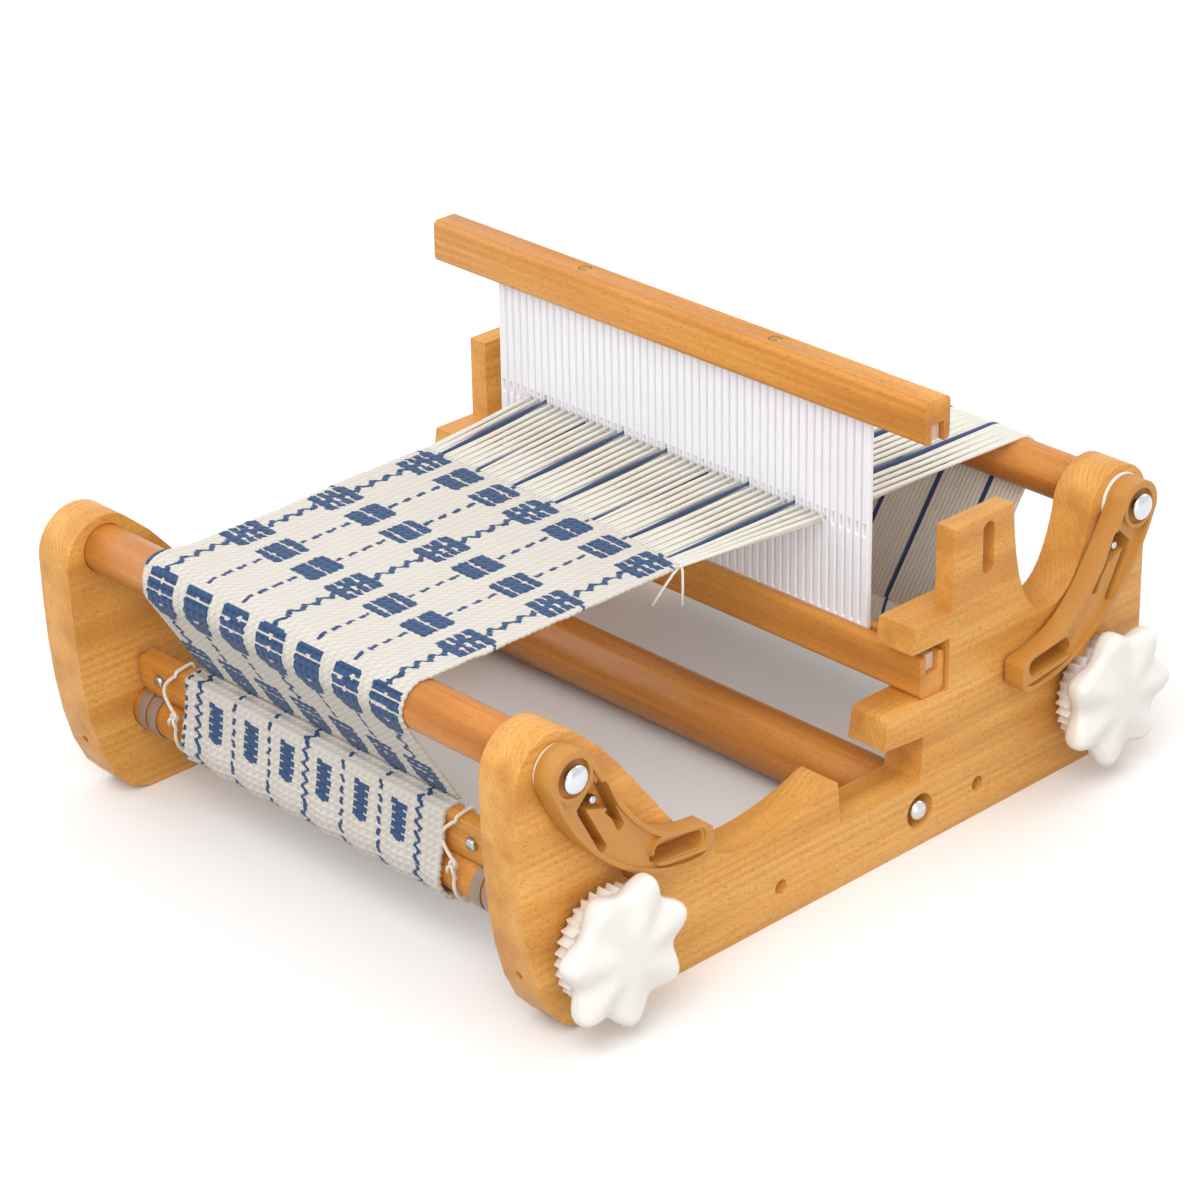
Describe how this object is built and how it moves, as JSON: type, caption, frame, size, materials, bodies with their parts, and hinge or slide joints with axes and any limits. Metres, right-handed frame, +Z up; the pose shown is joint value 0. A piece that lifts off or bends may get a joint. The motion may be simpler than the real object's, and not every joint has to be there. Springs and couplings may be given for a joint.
{
  "type": "table loom",
  "caption": "Small rigid-heddle table loom in beech, warped, with a blue-patterned cotton cloth begun; ratchet knobs and pawls hold its cloth and warp rollers.",
  "frame": {"origin": "on the table under the loom, at the middle of its outline in plan, knobs and reed rails included", "axes": "+X to the weaver's right, where the knobs are; +Y away from the weaver, towards the warp roller; +Z up"},
  "size_m": [0.3642, 0.423, 0.2296],
  "materials": {
    "beech": "satin",
    "dowel_beech": "satin",
    "white_plastic": "gloss",
    "tan_plastic": "satin",
    "clear_plastic": "satin",
    "grey_band": "satin",
    "steel": "satin",
    "brass": "satin",
    "cotton_cloth": "matte",
    "cotton_warp": "matte"
  },
  "bodies": {
    "frame": {"side_frame_left": "beech", "side_frame_right": "beech", "front_rod": "dowel_beech", "back_rod": "dowel_beech", "stretcher": "dowel_beech", "stretcher_bolt_left": "steel", "stretcher_bolt_right": "steel", "front_rod_bolt_left": "steel", "back_rod_bolt_left": "steel", "front_pawl_washer": "white_plastic", "back_pawl_washer": "white_plastic", "front_pawl_pivot": "steel", "back_pawl_pivot": "steel", "front_pawl_peg": "steel", "back_pawl_peg": "steel", "cloth_web": "cotton_cloth", "warp_front": "cotton_warp", "warp_back": "cotton_warp"},
    "cloth_beam": {"cloth_roller": "beech", "cloth_knob": "white_plastic", "cloth_roll": "cotton_cloth", "cloth_stick": "beech", "cloth_stick_screw_left": "steel", "cloth_stick_screw_right": "steel", "roller_band_1": "grey_band", "roller_band_2": "grey_band", "roller_band_3": "grey_band", "roller_band_4": "grey_band", "cloth_tie_left": "cotton_warp", "cloth_tie_right": "cotton_warp"},
    "warp_beam": {"warp_roller": "beech", "warp_knob": "white_plastic", "warp_roll": "cotton_warp", "warp_stick": "beech"},
    "front_pawl_body": {"front_pawl": "tan_plastic"},
    "back_pawl_body": {"back_pawl": "tan_plastic"},
    "reed": {"reed_top_rail": "beech", "reed_bottom_rail": "beech", "reed_comb": "clear_plastic", "reed_screw_top_left": "brass", "reed_screw_top_right": "brass", "reed_screw_bottom_left": "brass", "reed_screw_bottom_right": "brass"}
  },
  "joints": [
    {"name": "cloth_beam_turn", "type": "hinge", "parent": "frame", "child": "cloth_beam", "pos_m": [-0.012, -0.1685, 0.044], "axis": [1, 0, 0], "continuous": true},
    {"name": "warp_beam_turn", "type": "hinge", "parent": "frame", "child": "warp_beam", "pos_m": [-0.012, 0.1685, 0.044], "axis": [1, 0, 0], "continuous": true},
    {"name": "front_pawl_lift", "type": "hinge", "parent": "frame", "child": "front_pawl_body", "pos_m": [0.1546, -0.1895, 0.1365], "axis": [1, 0, 0], "range_deg": [-4.1, 4]},
    {"name": "back_pawl_lift", "type": "hinge", "parent": "frame", "child": "back_pawl_body", "pos_m": [0.1546, 0.1895, 0.1365], "axis": [-1, 0, 0], "range_deg": [-4.1, 4]},
    {"name": "reed_beat", "type": "slide", "parent": "frame", "child": "reed", "axis": [0, 1, 0], "range_m": [-0.078, 0], "deforming": ["warp_front", "warp_back"]}
  ]
}
